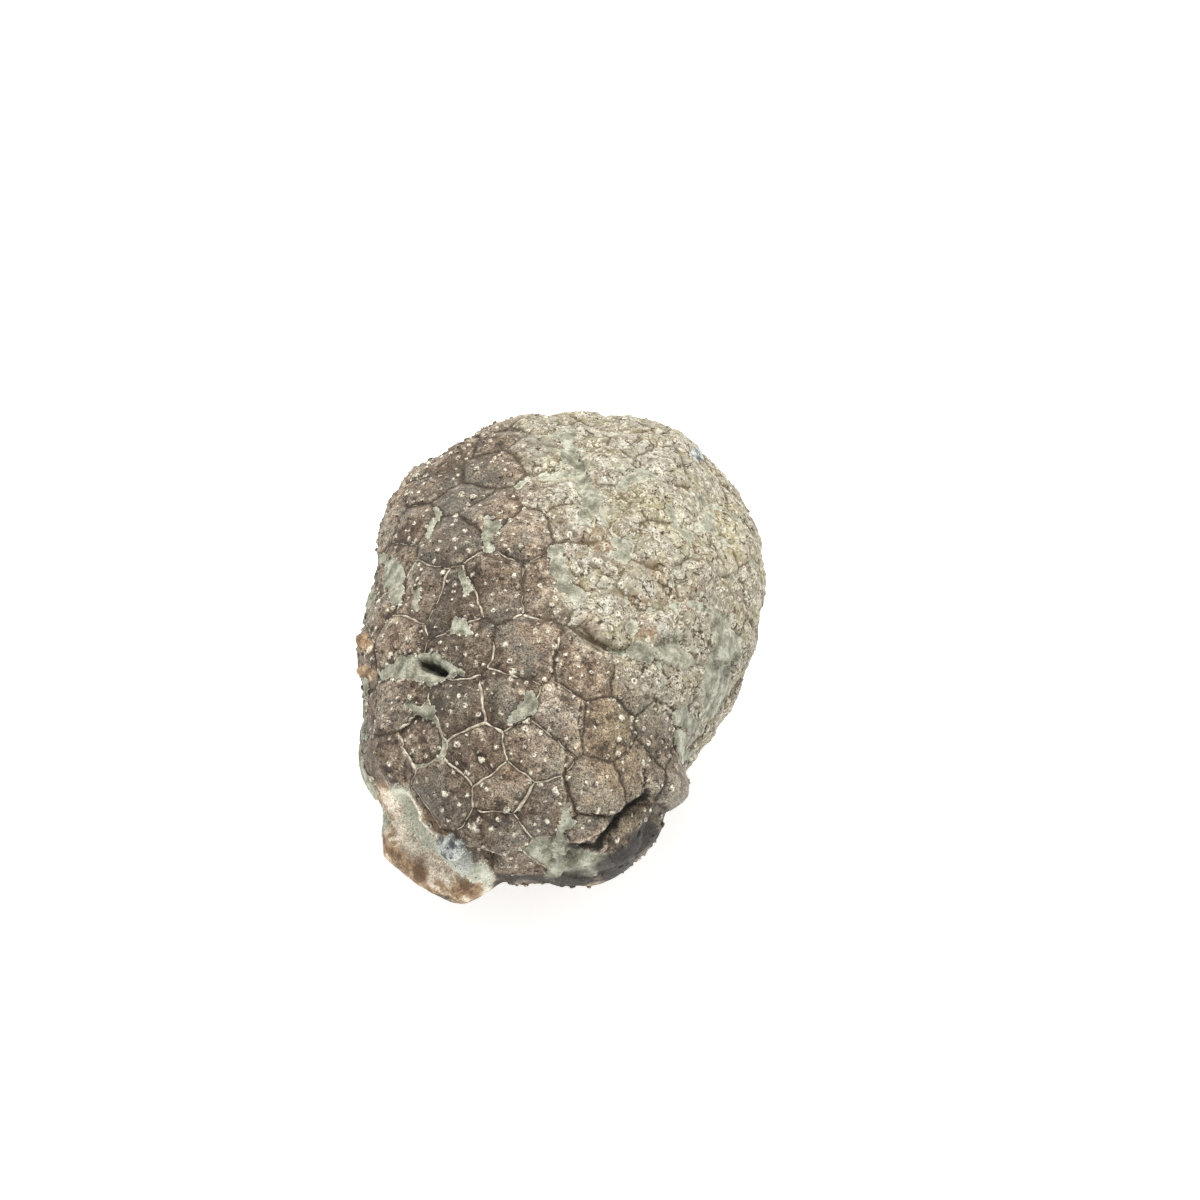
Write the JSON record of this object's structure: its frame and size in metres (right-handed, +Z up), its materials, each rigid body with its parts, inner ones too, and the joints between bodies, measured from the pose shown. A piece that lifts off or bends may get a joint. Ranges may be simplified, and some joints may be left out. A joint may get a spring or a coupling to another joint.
{
  "type": "cystoid fossil",
  "caption": "Stony ovoid fossil body of a cystoid, covered in polygonal plates with pimpled surfaces, with a broken stalk end and a small flat spot it rests on.",
  "frame": {"origin": "centre of the footprint, on the surface that the fossil rests on", "axes": "+Z up, +Y along the long axis away from the broken stalk end, +X to the right"},
  "size_m": [0.0627, 0.0933, 0.054],
  "materials": {
    "fossil_limestone": "matte"
  },
  "bodies": {
    "root": {"theca": "fossil_limestone"}
  },
  "joints": []
}
